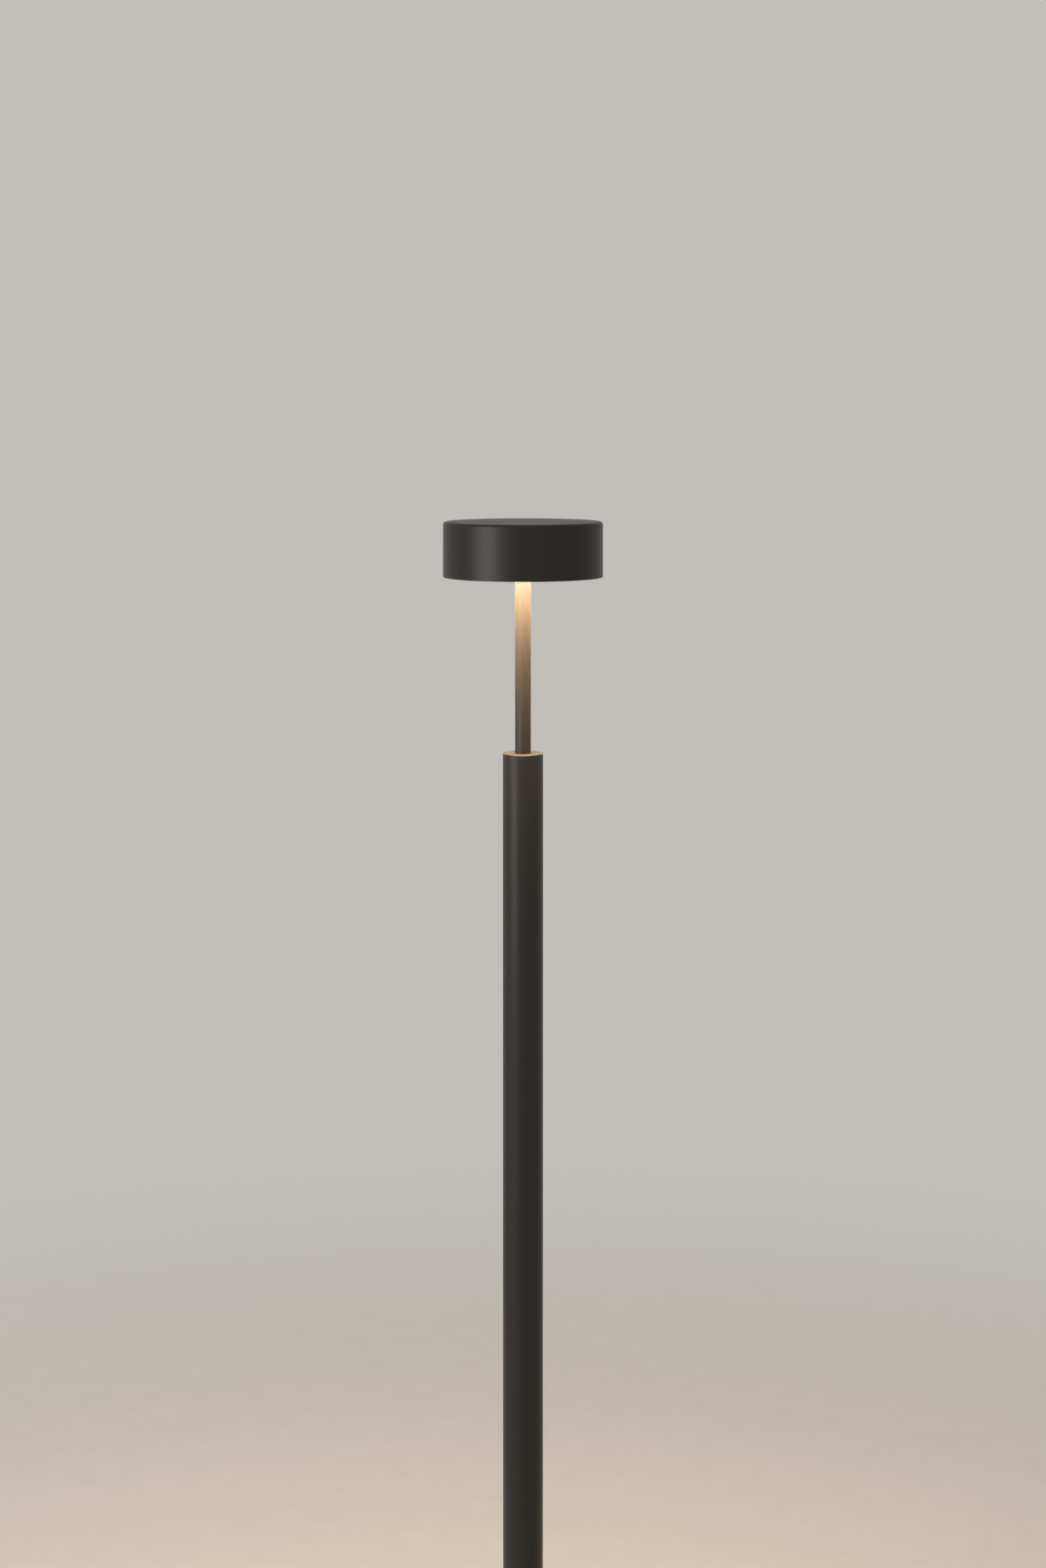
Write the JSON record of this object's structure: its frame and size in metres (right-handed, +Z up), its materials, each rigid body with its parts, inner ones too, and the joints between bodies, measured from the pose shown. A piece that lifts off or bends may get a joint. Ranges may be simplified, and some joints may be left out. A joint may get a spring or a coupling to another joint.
{
  "type": "column floor lamp",
  "caption": "Slim floor lamp: a drum head shines down its thin stem onto the top of a thicker round column on a weighted disc base with a foot switch.",
  "frame": {"origin": "on the floor, on the column's axis, in the plane of the rubber feet", "axes": "+Z up along the column, -Y towards the front, where the foot switch is; the cord inlet is at +Y"},
  "size_m": [0.25, 0.25, 1.3],
  "materials": {
    "black_coat": "fine satin powder coat",
    "opal_acrylic": "opal, satin",
    "white_plastic": "moulded",
    "dark_rubber": "matt",
    "cast_aluminium": "machined",
    "white_board": "solder mask",
    "led_yellow": "phosphor",
    "zinc_steel": "zinc plated",
    "black_screw": "black oxide",
    "grey_plastic": "moulded",
    "driver_case": "moulded",
    "lead_sheath": "smooth sheath",
    "iron": "as cast",
    "spring_steel": "drawn wire"
  },
  "bodies": {
    "lamp": {"ballast": "iron", "base_collar": "black_coat", "base_cover": "black_coat", "bezel_nut": "zinc_steel", "board_screws": "zinc_steel", "board_terminal": "grey_plastic", "bottom_plate": "zinc_steel", "button_bezel": "black_coat", "button_spring": "spring_steel", "cap_screws": "black_screw", "column_cap": "black_coat", "column_foot": "cast_aluminium", "column_tube": "black_coat", "cord_bush": "dark_rubber", "diffuser": "opal_acrylic", "diffuser_ring": "black_coat", "driver": "driver_case", "driver_carriers": "grey_plastic", "foot_bolts": "zinc_steel", "foot_grub_screws": "black_screw", "head_hub": "cast_aluminium", "head_lead": "lead_sheath", "head_screws": "zinc_steel", "head_shell": "black_coat", "heat_sink": "cast_aluminium", "hub_grub_screws": "black_screw", "hub_screws": "zinc_steel", "led_board": "white_board", "led_chips": "led_yellow", "plate_screws": "zinc_steel", "reflector": "white_plastic", "rubber_feet": "dark_rubber", "stem": "black_coat", "stem_grommet": "dark_rubber", "stem_nut": "zinc_steel", "stem_washer": "zinc_steel", "supply_lead": "lead_sheath", "switch_body": "grey_plastic", "switch_lead": "lead_sheath", "terminal_block": "white_plastic"},
    "button": {"foot_button": "black_coat", "switch_plunger": "grey_plastic"}
  },
  "joints": [
    {"name": "foot_button_press", "type": "slide", "parent": "lamp", "child": "button", "axis": [0, 0, -1], "range_m": [0, 0.003], "stiffness_N_per_m": 1500, "springref_m": -0.002, "deforming": ["button_spring"]}
  ]
}
